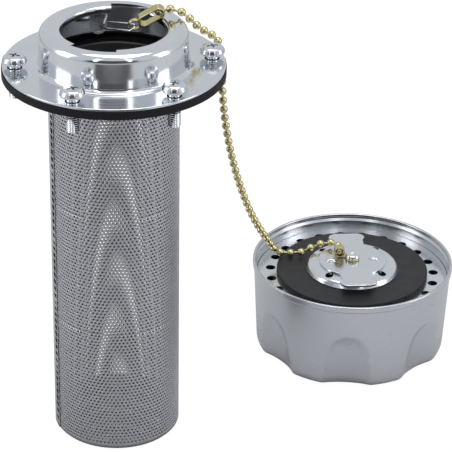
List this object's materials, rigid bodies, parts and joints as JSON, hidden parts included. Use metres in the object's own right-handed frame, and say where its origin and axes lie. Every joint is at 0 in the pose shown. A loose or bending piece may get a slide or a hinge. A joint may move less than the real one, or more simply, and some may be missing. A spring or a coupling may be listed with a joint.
{
  "type": "hydraulic filler breather",
  "caption": "Filler neck with bolted flange, gaskets and perforated strainer, and a bayonet breather cap on a bead chain standing upside down beside it.",
  "frame": {"origin": "centre of the screw circle in the plane of the tank gasket's underside", "axes": "+Z along the neck, away from the tank; the strainer hangs towards -Z; the cap lies towards +X and +Y"},
  "size_m": [0.1774, 0.1434, 0.1731],
  "materials": {
    "zinc_plated_steel": "bright zinc plate",
    "screw_steel": "bright zinc plate",
    "strainer_steel": "perforated sheet",
    "gasket_rubber": "matt",
    "link_steel": "bright wire",
    "chain_brass": "bright",
    "cap_steel": "satin plate",
    "lug_steel": "satin zinc plate",
    "seal_rubber": "matt",
    "filter_foam": "open foam"
  },
  "bodies": {
    "filler": {"neck_flange": "zinc_plated_steel", "screw_1": "screw_steel", "screw_2": "screw_steel", "screw_3": "screw_steel", "screw_4": "screw_steel", "screw_5": "screw_steel", "screw_6": "screw_steel", "strainer_wall": "strainer_steel", "strainer_bottom": "strainer_steel", "strainer_collar": "strainer_steel", "upper_gasket": "gasket_rubber", "tank_gasket": "gasket_rubber", "wire_link": "link_steel", "chain_coupling": "chain_brass", "bead_chain": "chain_brass", "cap_end_coupling": "chain_brass"},
    "cap": {"cap_shell": "cap_steel", "vent_plate": "cap_steel", "dome_retainer": "lug_steel", "lug_plate": "lug_steel", "centre_rivet": "lug_steel", "side_rivet_left": "lug_steel", "side_rivet_right": "lug_steel", "cap_rubber_ring": "seal_rubber", "breather_filter": "filter_foam"}
  },
  "joints": [
    {"name": "cap_swivel", "type": "hinge", "parent": "filler", "child": "cap", "pos_m": [0.0947, 0.0607, -0.1099], "axis": [0, 0, 1], "range_deg": [-18, 22]}
  ]
}
